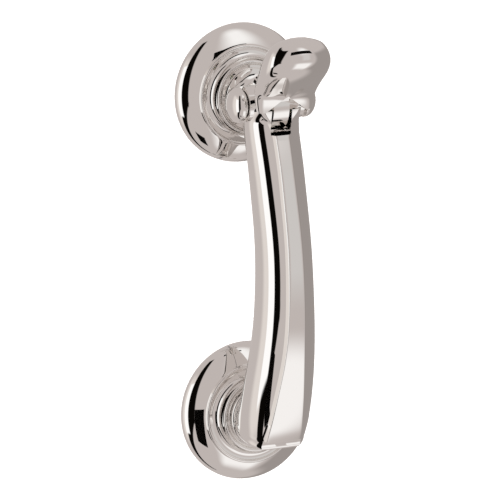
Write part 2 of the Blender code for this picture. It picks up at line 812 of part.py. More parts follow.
def build_roses(parts, cutters, chrome, rubber, steel):
    for place, height in (("upper", 0.0), ("lower", -ROSE_SPACING)):
        finish_part(make_rose(place + "_rose", height, parts, cutters), chrome)
        finish_part(make_gasket(place + "_gasket", height, parts), rubber)
        finish_part(make_peg(place + "_locating_peg", height, parts), steel)
    finish_part(make_striker(parts), chrome)


def build_fixings(parts, cutters, chrome, steel):
    arm_tip = ROSE_HEIGHT + STUD_SEAT
    striker_tip = ROSE_HEIGHT + STRIKER_HEIGHT / 2
    for place, height, tip in (("upper", 0.0, arm_tip), ("lower", -ROSE_SPACING, striker_tip)):
        finish_part(make_stud(place + "_fixing_stud", height, tip, parts), steel)
        finish_part(make_inner_washer(place + "_inner_washer", height, parts), steel)
        finish_part(make_dome_nut(place + "_dome_nut", height, parts, cutters), chrome)


def build_pivot(parts, pivot, axis, chrome, steel, nylon):
    """The pin and what it carries on each side of the knuckle."""
    finish_part(make_pin(parts, pivot), steel)
    finish_part(make_grub_screw(parts, pivot), steel)
    for side, rotation in SIDES:
        finish_part(make_cap(side, rotation, parts, pivot), chrome)
        collar_sizes = (COLLAR_RADIUS, COLLAR_START, COLLAR_THICKNESS)
        collar = make_pivot_ring("pivot_collar_" + side, *collar_sizes, rotation, parts, location=pivot)
        finish_part(collar, chrome)
        washer = make_pivot_ring(
            "thrust_washer_" + side,
            THRUST_WASHER_RADIUS,
            KNUCKLE_WIDTH / 2 + FIT_GAP,
            THRUST_WASHER_THICKNESS,
            rotation,
            parts,
            location=pivot,
        )
        finish_part(washer, nylon)
        bush = make_pivot_ring(
            "pivot_bush_" + side,
            BUSH_RADIUS,
            EAR_INNER + FIT_GAP,
            EAR_OUTER - EAR_INNER - 2 * FIT_GAP,
            rotation,
            parts,
            parent=axis,
        )
        finish_part(bush, nylon)


def main():
    clear_scene()
    parts = new_collection("door_knocker")
    cutters = new_collection("cutters")
    chrome = new_material("polished_chrome", (0.78, 0.76, 0.75), 0.05, 1.0)
    steel = new_material("zinc_plated_steel", (0.55, 0.55, 0.56), 0.35, 1.0)
    nylon = new_material("natural_nylon", (0.80, 0.78, 0.72), 0.45, 0.0)
    rubber = new_material("black_rubber", (0.03, 0.03, 0.03), 0.80, 0.0)
    pivot = (0.0, -PIVOT_REACH, PIVOT_RISE)
    axis = bpy.data.objects.new("handle_axis", None)
    axis.location = pivot
    parts.objects.link(axis)
    build_roses(parts, cutters, chrome, rubber, steel)
    build_fixings(parts, cutters, chrome, steel)
    finish_part(make_arm(parts, cutters, pivot), chrome)
    build_pivot(parts, pivot, axis, chrome, steel, nylon)
    finish_part(make_handle(parts, cutters, pivot, axis), chrome)


main()
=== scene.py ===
"""Pendant door knocker in mirror-polished chromium plate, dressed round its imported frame.

The door's face is the plane y = 0 and the knocker stands out from it along -Y, with +Z up. The
origin is the centre of the upper rose. In a side view a point is (reach, height): its distance out
from the door and its height, both in millimetres.
"""

import bisect
import json
import logging
import math
from dataclasses import dataclass, field
from enum import Enum

import bpy
from mathutils import Matrix, Vector


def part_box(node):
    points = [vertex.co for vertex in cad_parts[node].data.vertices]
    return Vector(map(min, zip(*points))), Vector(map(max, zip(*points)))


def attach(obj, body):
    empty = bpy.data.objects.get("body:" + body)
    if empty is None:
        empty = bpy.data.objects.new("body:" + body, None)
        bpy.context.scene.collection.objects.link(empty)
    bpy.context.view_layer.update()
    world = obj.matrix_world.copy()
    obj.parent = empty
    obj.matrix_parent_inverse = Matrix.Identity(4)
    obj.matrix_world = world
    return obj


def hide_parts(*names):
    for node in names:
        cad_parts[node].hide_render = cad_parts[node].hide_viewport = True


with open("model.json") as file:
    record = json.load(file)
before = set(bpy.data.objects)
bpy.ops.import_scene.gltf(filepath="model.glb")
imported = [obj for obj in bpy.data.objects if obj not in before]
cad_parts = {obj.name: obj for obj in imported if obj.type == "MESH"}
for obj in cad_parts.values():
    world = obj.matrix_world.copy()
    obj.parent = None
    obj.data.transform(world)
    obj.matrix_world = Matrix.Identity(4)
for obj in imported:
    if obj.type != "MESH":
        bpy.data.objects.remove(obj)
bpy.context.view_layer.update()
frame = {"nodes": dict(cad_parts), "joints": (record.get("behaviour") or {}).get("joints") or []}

MM = 0.001
FIT_GAP = 0.3
NEAR_AXIS = 0.01
LOG = logging.getLogger("door_knocker")

Point = tuple[float, float]
Ring = list[Vector]


class Body(Enum):
    """The two bodies that the hinge joins."""

    HANGER = "hanger"
    HANDLE = "handle"


class Slot(Enum):
    """The record's material slots."""

    CHROME = "polished_chrome"
    STEEL = "plated_steel"
    NYLON = "nylon"
    RUBBER = "rubber"


class Axis(Enum):
    """The way a turned piece's own height axis points."""

    OUTWARD = "out from the door"
    INWARD = "in through the door"
    LEFT = "left along the pin"
    RIGHT = "right along the pin"

    def matrix(self) -> Matrix:
        """The rotation that takes +Z to this direction."""
        turns = {
            Axis.OUTWARD: Matrix.Rotation(math.radians(90), 4, "X"),
            Axis.INWARD: Matrix.Rotation(math.radians(-90), 4, "X"),
            Axis.LEFT: Matrix.Rotation(math.radians(-90), 4, "Y"),
            Axis.RIGHT: Matrix.Rotation(math.radians(90), 4, "Y"),
        }
        return turns[self]


# Shape tools


def arc(centre: Point, radius: float, start: float, end: float, steps: int = 8) -> list[Point]:
    """Points of an arc.

    Args:
        centre: The arc's centre.
        radius: Its radius.
        start: The first angle, in degrees.
        end: The last angle, in degrees.
        steps: The number of spans.

    Returns:
        steps + 1 points from start to end.
    """
    angles = [math.radians(start + (end - start) * i / steps) for i in range(steps + 1)]
    return [(centre[0] + radius * math.cos(a), centre[1] + radius * math.sin(a)) for a in angles]


def bezier(points: list[Point], steps: int) -> list[Point]:
    """Points along a Bezier curve of any degree.

    Args:
        points: Its control points.
        steps: The number of spans.

    Returns:
        steps + 1 points along the curve.
    """
    made = []
    for i in range(steps + 1):
        t = i / steps
        level = points
        while len(level) > 1:
            level = [
                (a[0] + (b[0] - a[0]) * t, a[1] + (b[1] - a[1]) * t) for a, b in zip(level, level[1:])
            ]
        made.append(level[0])
    return made


class Spline:
    """A natural cubic spline, whose curvature is continuous, through values at rising places."""

    def __init__(self, places: list[float], values: list[float]) -> None:
        """Solves for the slopes' rate of change at each place.

        Args:
            places: Rising places.
            values: The value at each place.
        """
        self.places = places
        self.values = values
        count = len(places)
        upper = [0.0] * count
        right = [0.0] * count
        for i in range(1, count - 1):
            before = places[i] - places[i - 1]
            after = places[i + 1] - places[i]
            bend = (values[i + 1] - values[i]) / after - (values[i] - values[i - 1]) / before
            pivot = 2 * (before + after) - before * upper[i - 1]
            upper[i] = after / pivot
            right[i] = (6 * bend - before * right[i - 1]) / pivot
        self.bends = [0.0] * count
        for i in range(count - 2, 0, -1):
            self.bends[i] = right[i] - upper[i] * self.bends[i + 1]

    def at(self, place: float) -> float:
        """The spline's value.

        Args:
            place: Where, between the first place and the last.

        Returns:
            The value there.
        """
        i = min(max(bisect.bisect_right(self.places, place) - 1, 0), len(self.places) - 2)
        width = self.places[i + 1] - self.places[i]
        far = (place - self.places[i]) / width
        near = 1 - far
        swell = (near**3 - near) * self.bends[i] + (far**3 - far) * self.bends[i + 1]
        return near * self.values[i] + far * self.values[i + 1] + swell * width * width / 6


def mirrored(half: list[Point]) -> list[Point]:
    """A whole ring from the half that starts and ends on the centre plane."""
    return half + [(-x, depth) for x, depth in reversed(half[1:-1])]


def placed(ring: list[Point], front: Point, back: Point) -> Ring:
    """Puts a flat ring in the side view's plane that runs from back to front.

    Args:
        ring: Points (x, depth), with depth measured from front towards back.
        front: The section's front point.
        back: Its back point.

    Returns:
        The ring's points in metres.
    """
    length = math.dist(front, back)
    along = ((back[0] - front[0]) / length, (back[1] - front[1]) / length)
    return [
        Vector((x, -(front[0] + along[0] * depth), front[1] + along[1] * depth)) * MM for x, depth in ring
    ]


def skin(name: str, rings: list[Ring], looped: bool = False) -> bpy.types.Object:
    """A smooth mesh over rings with equal numbers of points.

    Args:
        name: The piece's name.
        rings: The rings, in order.
        looped: True joins the last ring to the first; otherwise the ends are closed.

    Returns:
        The new object, with its faces turned outwards.
    """
    count = len(rings[0])
    points = [point for ring in rings for point in ring]
    faces = []
    for row in range(len(rings) if looped else len(rings) - 1):
        low = row * count
        high = (row + 1) % len(rings) * count
        for i in range(count):
            before = (i - 1) % count
            faces.append((low + before, low + i, high + i, high + before))
    if not looped:
        faces += [tuple(range(count - 1, -1, -1)), tuple(range(len(points) - count, len(points)))]
    mesh = bpy.data.meshes.new(name)
    mesh.from_pydata(points, [], faces)
    mesh.validate()
    obj = bpy.data.objects.new(name, mesh)
    bpy.context.scene.collection.objects.link(obj)
    face_outwards(obj)
    return obj


def face_outwards(obj: bpy.types.Object) -> None:
    """Turns a closed mesh's faces outwards."""
    mesh = obj.data
    mesh.calc_loop_triangles()
    volume = 0.0
    for triangle in mesh.loop_triangles:
        a, b, c = (mesh.vertices[i].co for i in triangle.vertices)
        volume += a.dot(b.cross(c))
    if volume < 0:
        mesh.flip_normals()


def turned(name: str, profile: list[Point], axis: Axis, centre: Vector, steps: int = 96) -> bpy.types.Object:
    """A profile turned about an axis.

    Args:
        name: The piece's name.
        profile: (radius, height) points in millimetres. It is a closed outline where every radius is
            over zero, and otherwise runs from the axis to the axis.
        axis: The way that height points.
        centre: The point of the axis at height 0, in metres.
        steps: The number of facets round the axis.

    Returns:
        The new object.
    """
    place = Matrix.Translation(centre) @ axis.matrix()
    closed = min(radius for radius, _ in profile) > 1e-6
    inner = profile if closed else profile[1:-1]
    rings = []
    for radius, height in inner:
        angles = [2 * math.pi * i / steps for i in range(steps)]
        points = [Vector((radius * math.cos(a), radius * math.sin(a), height)) for a in angles]
        rings.append([place @ (point * MM) for point in points])
    return skin(name, rings, looped=closed)


def pin_rod(pivot: Vector, name: str, radius: float, half: float, steps: int) -> bpy.types.Object:
    """A rod along the pivot, half to each side of the centre.

    Args:
        pivot: The pivot's centre, in metres.
        name: The rod's name.
        radius: Its radius in millimetres.
        half: Half its length in millimetres.
        steps: The number of facets round it.

    Returns:
        The rod.
    """
    rim = [(NEAR_AXIS, half), (radius, half), (radius, -half), (NEAR_AXIS, -half)]
    return turned(name, [(0, half), *rim, (0, -half)], Axis.RIGHT, pivot, steps)


def boolean(obj: bpy.types.Object, other: bpy.types.Object, operation: str) -> None:
    """Joins another closed mesh to this one or cuts it away, and removes the other.

    Args:
        obj: The mesh that changes.
        other: The mesh that is used up.
        operation: UNION or DIFFERENCE.
    """
    modifier = obj.modifiers.new(other.name, "BOOLEAN")
    modifier.operation = operation
    modifier.solver = "EXACT"
    modifier.object = other
    graph = bpy.context.evaluated_depsgraph_get()
    made = bpy.data.meshes.new_from_object(obj.evaluated_get(graph))
    obj.modifiers.clear()
    old = obj.data
    obj.data = made
    bpy.data.meshes.remove(old)
    bpy.data.objects.remove(other)


def smooth(obj: bpy.types.Object, angle: float) -> None:
    """Shades a piece smooth, and leaves edges over this angle in degrees sharp."""
    obj.data.shade_smooth()
    obj.data.set_sharp_from_angle(angle=math.radians(angle))


# Finishes


def linear(code: str) -> tuple[float, float, float, float]:
    """A linear colour from an sRGB hex code such as C8BFBC."""
    parts = [int(code[i : i + 2], 16) / 255 for i in (0, 2, 4)]
    r, g, b = (p / 12.92 if p <= 0.04045 else ((p + 0.055) / 1.055) ** 2.4 for p in parts)
    return r, g, b, 1.0


def add_node(
    tree: bpy.types.NodeTree,
    kind: str,
    settings: dict | None = None,
    links: dict | None = None,
    **values: object,
) -> bpy.types.Node:
    """Adds a node.

    Args:
        tree: The node tree.
        kind: The node's type.
        settings: Properties to set on the node.
        links: Input name or number to the output socket that feeds it.
        **values: Input values, with underscores for the spaces in a socket's name.

    Returns:
        The new node.
    """
    node = tree.nodes.new(kind)
    for key, value in (settings or {}).items():
        setattr(node, key, value)
    for key, value in values.items():
        node.inputs[key.replace("_", " ")].default_value = value
    for key, socket in (links or {}).items():
        tree.links.new(socket, node.inputs[key])
    return node


@dataclass(frozen=True)
class Finish:
    """A surface finish, with what every finish has."""

    name: str
    colour: str
    roughness: float

    def material(self) -> bpy.types.Material:
        """The finish as a new material."""
        made = bpy.data.materials.new(self.name)
        made.use_nodes = True
        tree = made.node_tree
        tree.nodes.clear()
        shader = tree.nodes.new("ShaderNodeBsdfPrincipled")
        output = tree.nodes.new("ShaderNodeOutputMaterial")
        tree.links.new(shader.outputs["BSDF"], output.inputs["Surface"])
        shader.inputs["Base Color"].default_value = linear(self.colour)
        shader.inputs["Roughness"].default_value = self.roughness
        self.dress(tree, shader)
        return made

    def dress(self, tree: bpy.types.NodeTree, shader: bpy.types.Node) -> None:
        """Adds what this finish has of its own."""


@dataclass(frozen=True)
class MirrorChrome(Finish):
    """Bright chromium plate over polished brass.

    Chromium is a near-neutral mirror, so nearly all that the eye sees is what it reflects. Hand
    polishing leaves a very slight waviness, which bends the edges of those reflections a little, and
    faint wiping haze that softens them in patches.
    """

    wave_mm: float = 9.0
    wave_depth_mm: float = 0.0012
    haze_mm: float = 14.0
    haze: float = 0.03

    def dress(self, tree: bpy.types.NodeTree, shader: bpy.types.Node) -> None:
        """Adds the polish waviness and the wiping haze."""
        shader.inputs["Metallic"].default_value = 1.0
        place = add_node(tree, "ShaderNodeTexCoord").outputs["Object"]
        haze_scale = 1 / (self.haze_mm * MM)
        haze = add_node(tree, "ShaderNodeTexNoise", links={"Vector": place}, Scale=haze_scale, Detail=3.0)
        spread = add_node(
            tree,
            "ShaderNodeMapRange",
            links={"Value": haze.outputs["Fac"]},
            From_Min=0.45,
            From_Max=0.75,
            To_Min=self.roughness,
            To_Max=self.roughness + self.haze,
        )
        tree.links.new(spread.outputs["Result"], shader.inputs["Roughness"])
        wave_scale = 1 / (self.wave_mm * MM)
        wave = add_node(tree, "ShaderNodeTexNoise", links={"Vector": place}, Scale=wave_scale, Detail=1.0)
        height = {"Height": wave.outputs["Fac"]}
        bump = add_node(tree, "ShaderNodeBump", links=height, Strength=1.0, Distance=self.wave_depth_mm * MM)
        tree.links.new(bump.outputs["Normal"], shader.inputs["Normal"])


@dataclass(frozen=True)
class ZincPlate(Finish):
    """Bright zinc plate on turned steel, whose fine turning marks blur its reflections."""

    mark_mm: float = 0.4
    mark_depth_mm: float = 0.01
    cloud_mm: float = 6.0

    def dress(self, tree: bpy.types.NodeTree, shader: bpy.types.Node) -> None:
        """Adds the turning marks and a patchy passivated tone."""
        shader.inputs["Metallic"].default_value = 1.0
        place = add_node(tree, "ShaderNodeTexCoord").outputs["Object"]
        cloud_scale = 1 / (self.cloud_mm * MM)
        cloud = add_node(tree, "ShaderNodeTexNoise", links={"Vector": place}, Scale=cloud_scale, Detail=4.0)
        tone = add_node(tree, "ShaderNodeValToRGB", links={"Fac": cloud.outputs["Fac"]})
        tone.color_ramp.elements[0].color = linear("8E9096")
        tone.color_ramp.elements[1].color = linear("BFC1C4")
        tree.links.new(tone.outputs["Color"], shader.inputs["Base Color"])
        # The wave texture repeats twenty times in each unit of its scale.
        marks = add_node(
            tree,
            "ShaderNodeTexWave",
            {"bands_direction": "Y"},
            {"Vector": place},
            Scale=1 / (self.mark_mm * MM) / 20,
            Distortion=0.4,
        )
        height = {"Height": marks.outputs["Fac"]}
        bump = add_node(tree, "ShaderNodeBump", links=height, Strength=0.3, Distance=self.mark_depth_mm * MM)
        tree.links.new(bump.outputs["Normal"], shader.inputs["Normal"])


@dataclass(frozen=True)
class MouldedNylon(Finish):
    """Natural nylon, as moulded: a milky translucent white with a soft, slightly uneven gloss."""

    grain_mm: float = 0.5
    grain_depth_mm: float = 0.01

    def dress(self, tree: bpy.types.NodeTree, shader: bpy.types.Node) -> None:
        """Adds the milky depth and the mould's fine texture."""
        shader.inputs["Subsurface Weight"].default_value = 0.15
        shader.inputs["Subsurface Scale"].default_value = 0.5 * MM
        place = add_node(tree, "ShaderNodeTexCoord").outputs["Object"]
        grain_scale = 1 / (self.grain_mm * MM)
        grain = add_node(tree, "ShaderNodeTexNoise", links={"Vector": place}, Scale=grain_scale, Detail=2.0)
        height = {"Height": grain.outputs["Fac"]}
        bump = add_node(tree, "ShaderNodeBump", links=height, Strength=0.2, Distance=self.grain_depth_mm * MM)
        tree.links.new(bump.outputs["Normal"], shader.inputs["Normal"])


@dataclass(frozen=True)
class SheetRubber(Finish):
    """Black sheet rubber, cut from a cloth-finished sheet that leaves it matt and finely dimpled."""

    dimple_mm: float = 0.6
    dimple_depth_mm: float = 0.04
    bloom_mm: float = 8.0

    def dress(self, tree: bpy.types.NodeTree, shader: bpy.types.Node) -> None:
        """Adds the cloth finish and a dusty bloom."""
        place = add_node(tree, "ShaderNodeTexCoord").outputs["Object"]
        dimple_scale = 1 / (self.dimple_mm * MM)
        dimples = add_node(tree, "ShaderNodeTexVoronoi", links={"Vector": place}, Scale=dimple_scale)
        height = {"Height": dimples.outputs["Distance"]}
        depth = self.dimple_depth_mm * MM
        bump = add_node(tree, "ShaderNodeBump", links=height, Strength=0.4, Distance=depth)
        tree.links.new(bump.outputs["Normal"], shader.inputs["Normal"])
        bloom_scale = 1 / (self.bloom_mm * MM)
        bloom = add_node(tree, "ShaderNodeTexNoise", links={"Vector": place}, Scale=bloom_scale, Detail=3.0)
        tone = add_node(tree, "ShaderNodeValToRGB", links={"Fac": bloom.outputs["Fac"]})
        tone.color_ramp.elements[0].color = linear("161616")
        tone.color_ramp.elements[1].color = linear("2B2A29")
        tree.links.new(tone.outputs["Color"], shader.inputs["Base Color"])


CHROME = MirrorChrome("mirror_polished_chromium_plate", "F4F2F0", 0.015)
ZINC = ZincPlate("bright_zinc_plate_on_turned_steel", "A9ABAF", 0.32)
NYLON = MouldedNylon("natural_moulded_nylon", "DDD8C8", 0.42)
RUBBER = SheetRubber("black_cloth_finished_rubber", "1E1E1E", 0.75)


@dataclass
class Workshop:
    """Makes each finish once and records each piece as it is dressed."""

    materials: dict[str, bpy.types.Material] = field(default_factory=dict)

    def material(self, finish: Finish) -> bpy.types.Material:
        """The finish's material, made the first time that it is asked for."""
        if finish.name not in self.materials:
            self.materials[finish.name] = finish.material()
        return self.materials[finish.name]

    def dress(self, obj: bpy.types.Object, finish: Finish) -> None:
        """Gives a piece one finish all over."""
        obj.data.materials.clear()
        obj.data.materials.append(self.material(finish))

    def fit(self, obj: bpy.types.Object, body: Body, nodes: tuple[str, ...]) -> None:
        """Puts a new piece on its body in place of CAD nodes.

        Args:
            obj: The new piece.
            body: The body it rides on.
            nodes: The CAD nodes that it stands for.
        """
        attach(obj, body.value)
        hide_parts(*nodes)
        LOG.info("%s: %d faces on %s", obj.name, len(obj.data.polygons), body.value)


def node_centre(node: str) -> Vector:
    """The middle of a CAD node's box."""
    low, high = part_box(node)
    return (Vector(low) + Vector(high)) / 2


# Sub-assemblies


@dataclass
class Rose:
    """A turned rose: a dished flange, a bead, a cove and a second bead round the middle."""

    node: str
    rim_edge: float = 0.9
    flange_height: float = 7.8
    outer_bead: float = 21.6
    cove: float = 18.6
    inner_bead: float = 15.6
    bead_round: float = 0.8
    bead_rise: float = 1.7
    back_bore: float = 2.8
    edge_break: float = 0.15
    ledge: Point = (1.3, 0.1)
    cove_top: Point = (0.8, 1.6)
    cove_wall: Point = (0.9, 1.4)
    cove_floor: float = 0.6
    cove_end: Point = (1.0, 0.9)
    flange_start: float = 1.2
    flange_run: float = 4.2
    flange_sag: float = 1.7
    flange_shoulder: float = 3.4
    groove: Point = (0.3, 0.1)

    def build(self, shop: Workshop) -> bpy.types.Object:
        """Turns the rose and dresses it.

        Args:
            shop: Where the finish comes from.

        Returns:
            The rose.
        """
        low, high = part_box(self.node)
        radius = (high[0] - low[0]) / 2 / MM
        height = -low[1] / MM
        centre = Vector((0, 0, (low[2] + high[2]) / 2))
        rose = turned("turned_" + self.node, self.profile(radius, height), Axis.OUTWARD, centre, steps=192)
        smooth(rose, 50)
        shop.dress(rose, CHROME)
        shop.fit(rose, Body.HANGER, (self.node,))
        return rose

    def profile(self, radius: float, height: float) -> list[Point]:
        """The rose's closed section.

        Args:
            radius: The rim's radius.
            height: How far the middle stands from the door.

        Returns:
            (radius, height) points, out from the bore at the front and back behind.
        """
        foot = self.outer_bead + self.flange_start
        flange = [
            (foot, self.flange_height),
            (foot + self.flange_run, self.flange_height - self.flange_sag),
            (radius, self.flange_shoulder),
            (radius, self.rim_edge),
        ]
        cove = [
            (self.inner_bead + self.cove_top[0], height - self.cove_top[1]),
            (self.inner_bead + self.cove_wall[0], self.flange_height + self.cove_wall[1]),
            (self.cove, self.flange_height + self.cove_floor),
            (self.outer_bead - self.cove_end[0], self.flange_height + self.cove_end[1]),
        ]
        return [
            (self.back_bore, height),
            (self.inner_bead - self.ledge[0], height - self.ledge[1]),
            *self.bead(self.inner_bead, height),
            *bezier(cove, 14),
            *self.bead(self.outer_bead, self.flange_height + self.bead_rise),
            (foot - self.groove[0], self.flange_height + self.groove[1]),
            *bezier(flange, 28),
            (radius, self.edge_break),
            (radius - self.edge_break, 0.0),
            (self.back_bore, 0.0),
        ]

    def bead(self, radius: float, top: float) -> list[Point]:
        """A half-round bead, from its inner foot to its outer foot."""
        return arc((radius, top - self.bead_round), self.bead_round, 180, 0, 12)


@dataclass
class Striker:
    """The round button on the lower rose that the handle's heel strikes."""

    node: str = "striker_button"
    edge: float = 1.2
    edge_break: float = 0.2
    bore: float = 2.8

    def build(self, shop: Workshop) -> bpy.types.Object:
        """Turns the button, a little domed, and dresses it.

        Args:
            shop: Where the finish comes from.

        Returns:
            The button.
        """
        low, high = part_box(self.node)
        radius = (high[0] - low[0]) / 2 / MM
        face = -low[1] / MM
        base = -high[1] / MM
        roof = (base + face) / 2
        profile = [
            (0, face),
            (NEAR_AXIS, face),
            *arc((radius - self.edge, face - self.edge), self.edge, 90, 0, 10),
            (radius, base + self.edge_break),
            (radius - self.edge_break, base),
            (self.bore, base),
            (self.bore, roof),
            (NEAR_AXIS, roof),
            (0, roof),
        ]
        centre = Vector((0, 0, node_centre(self.node).z))
        button = turned("polished_striker", profile, Axis.OUTWARD, centre, 128)
        smooth(button, 40)
        shop.dress(button, CHROME)
        shop.fit(button, Body.HANGER, (self.node,))
        return button


@dataclass
class Pivot:
    """What the handle swings on: domed caps and thin collars at the ends of the pin."""

    centre: Vector
    band: float = 0.9
    bore: float = 2.8
    seat: float = 3.0
    cap_break: float = 0.25
    collar_round: float = 0.35

    def build(self, shop: Workshop) -> None:
        """Turns both caps and both collars.

        Args:
            shop: Where the finish comes from.
        """
        for side, axis in (("left", Axis.LEFT), ("right", Axis.RIGHT)):
            cap = turned("domed_cap_" + side, self.cap_profile(side), axis, self.centre, 96)
            smooth(cap, 50)
            shop.dress(cap, CHROME)
            shop.fit(cap, Body.HANGER, ("pivot_cap_" + side,))
            collar = turned("thin_collar_" + side, self.collar_profile(side), axis, self.centre, 96)
            smooth(collar, 50)
            shop.dress(collar, CHROME)
            shop.fit(collar, Body.HANGER, ("pivot_collar_" + side,))

    def span(self, node: str) -> tuple[float, float, float]:
        """A node's radius about the pin, and its start and end along it."""
        low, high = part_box(node)
        ends = sorted((abs(low[0]) / MM, abs(high[0]) / MM))
        return (high[2] - low[2]) / 2 / MM, ends[0], ends[1]

    def cap_profile(self, side: str) -> list[Point]:
        """A dome on a short band, with a blind hole for the pin."""
        radius, start, end = self.span("pivot_cap_" + side)
        top = start + self.band
        dome = [
            (radius * math.sin(math.radians(a)), top + (end - top) * math.cos(math.radians(a)))
            for a in range(0, 91, 5)
        ]
        roof = start + self.seat
        skirt = [(radius, start + self.cap_break), (radius - self.cap_break, start)]
        hole = [(self.bore, start), (self.bore, roof), (NEAR_AXIS, roof), (0, roof)]
        return [(0, end), (NEAR_AXIS, end), *dome[1:], *skirt, *hole]

    def collar_profile(self, side: str) -> list[Point]:
        """A flat ring with its outer edges rounded over."""
        radius, start, end = self.span("pivot_collar_" + side)
        turn = self.collar_round
        return [
            (self.bore, end),
            *arc((radius - turn, end - turn), turn, 90, 0, 6),
            *arc((radius - turn, start + turn), turn, 0, -90, 6),
            (self.bore, start),
        ]


@dataclass(frozen=True)
class HeadStation:
    """A level section of the head, measured from the pivot in millimetres.

    The shield is the head's face: its half width, and how far its edges fall behind its middle. Cheek
    is how far the flank beside it swells, and side is the reach of the widest line.
    """

    rise: float
    front: float
    back: float
    half_width: float
    shield: float
    drop: float
    cheek: float
    side: float


@dataclass
class HangerArm:
    """The fixed casting: a flared foot, a flat neck, the knuckle and the hooded head."""

    pivot: Vector
    node: str = "hanger_arm"
    flare_radius: float = 13.0
    neck_radius: float = 7.4
    flare_length: float = 6.2
    knuckle_radius: float = 12.2
    knuckle_half: float = 3.7
    hood_radius: float = 13.3
    notch_half: float = 9.7
    notch_height: float = 5.4
    notch_margin: float = 3.0
    notch_reach: float = 24.0
    skirt_drop: float = 1.5
    pin_bore: float = 2.8
    least_shield: float = 0.2
    cheek_start: float = 0.35
    flare_edge: float = 0.5
    cove_foot: Point = (1.8, 1.0)
    cove_rise: float = 2.6
    neck_stop: float = 9.2
    neck_ease: float = 1.5
    neck_inset: float = 0.2
    blade_root: float = 3.0
    blade_low: float = 6.0
    blade_high: float = 5.6
    blade_face: float = 0.6
    blade_nose: Point = (6.0, 6.0)
    blade_brow: Point = (2.0, 9.0)
    saddle_front: Point = (8.0, 2.0)
    saddle_middle: Point = (-2.0, 12.0)
    saddle_back: Point = (-6.0, 7.0)
    saddle_end: Point = (5.0, 6.0)
    stations: tuple[HeadStation, ...] = (
        HeadStation(-1.5, 16.8, 10.6, 13.0, 0.3, 0.0, 1.5, 14.8),
        HeadStation(2.0, 17.6, 10.5, 13.7, 0.4, 0.0, 1.5, 15.0),
        HeadStation(5.4, 19.6, 10.4, 14.3, 1.6, 0.2, 1.2, 15.6),
        HeadStation(8.2, 23.0, 10.6, 14.8, 5.8, 0.7, 0.6, 17.0),
        HeadStation(11.0, 27.0, 11.3, 15.2, 9.0, 1.8, 0.2, 19.2),
        HeadStation(14.8, 32.4, 13.1, 15.6, 11.4, 3.0, 0.0, 22.8),
        HeadStation(18.0, 36.0, 14.6, 15.8, 12.6, 4.0, 0.0, 25.4),
        HeadStation(21.0, 38.2, 16.1, 15.7, 13.2, 4.8, 0.0, 27.2),
        HeadStation(24.0, 39.1, 18.2, 15.1, 13.0, 5.0, 0.0, 28.6),
        HeadStation(27.0, 38.8, 20.6, 13.9, 11.8, 4.8, 0.0, 29.5),
        HeadStation(29.6, 37.4, 22.6, 12.0, 8.6, 3.2, 0.0, 29.9),
        HeadStation(31.4, 35.2, 24.8, 9.1, 4.0, 1.0, 0.2, 30.0),
        HeadStation(32.9, 32.0, 28.2, 3.8, 0.3, 0.0, 0.0, 30.1),
    )

    def build(self, shop: Workshop) -> bpy.types.Object:
        """Builds the casting and dresses it.

        Args:
            shop: Where the finish comes from.

        Returns:
            The casting.
        """
        arm = skin("cast_hanger_arm", self.head_rings())
        far = 3 * self.knuckle_radius
        boolean(arm, pin_rod(self.pivot, "hood_sweep", self.hood_radius, far, 160), "DIFFERENCE")
        boolean(arm, self.notch(), "DIFFERENCE")
        low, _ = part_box("upper_rose")
        base = -low[1] / MM + FIT_GAP
        boolean(arm, turned("flare", self.flare_profile(base), Axis.OUTWARD, Vector(), 96), "UNION")
        boolean(arm, self.blade(base), "UNION")
        boolean(arm, pin_rod(self.pivot, "knuckle", self.knuckle_radius, self.knuckle_half, 160), "UNION")
        boolean(arm, pin_rod(self.pivot, "bore", self.pin_bore, far, 48), "DIFFERENCE")
        smooth(arm, 22)
        shop.dress(arm, CHROME)
        shop.fit(arm, Body.HANGER, (self.node,))
        return arm

    def head_rings(self) -> list[Ring]:
        """The head's level rings, from the skirt's edge to the crown."""
        rises = [station.rise for station in self.stations]
        names = ("front", "back", "half_width", "shield", "drop", "cheek", "side")
        splines = {n: Spline(rises, [getattr(s, n) for s in self.stations]) for n in names}
        reach = -self.pivot.y / MM
        height = self.pivot.z / MM
        rings = []
        count = 72
        for i in range(count + 1):
            rise = rises[0] + (rises[-1] - rises[0]) * math.sin(math.pi / 2 * i / count) ** 0.9
            station = HeadStation(rise, *(splines[n].at(rise) for n in names))
            front = (reach + station.front, height + rise)
            back = (reach + station.back, height + rise)
            rings.append(placed(mirrored(self.section(station)), front, back))
        return rings

    def section(self, station: HeadStation) -> list[Point]:
        """Half a level section: the convex shield, its edge, the cheek and the back.

        Args:
            station: The section's sizes.

        Returns:
            (x, depth) points, with depth measured back from the shield's centre.
        """
        shield = max(station.shield, self.least_shield)
        drop = max(station.drop, 0.0)
        depth = station.front - station.back
        middle = station.front - station.side
        face = [(shield * i / 8, drop * (i / 8) ** 2) for i in range(8)]
        half_width = station.half_width
        swell = drop + self.cheek_start * (middle - drop) - station.cheek
        cheek = bezier([(shield, drop), (half_width, swell), (half_width, middle)], 12)
        angles = [math.radians(a) for a in range(9, 91, 9)]
        rear = [(half_width * math.cos(a), middle + (depth - middle) * math.sin(a)) for a in angles]
        rear[-1] = (0.0, depth)
        return face + cheek + rear

    def notch(self) -> bpy.types.Object:
        """The inverted V that opens the skirt in front of the knuckle."""
        top = self.pivot.z / MM + self.notch_height
        low = self.pivot.z / MM - self.skirt_drop
        outline = [
            (0, top),
            (self.notch_half, low),
            (self.notch_half, low - self.notch_margin),
            (-self.notch_half, low - self.notch_margin),
            (-self.notch_half, low),
        ]
        reach = -self.pivot.y / MM
        ends = (reach, reach + self.notch_reach)
        return skin("notch", [[Vector((x, -r, z)) * MM for x, z in outline] for r in ends])

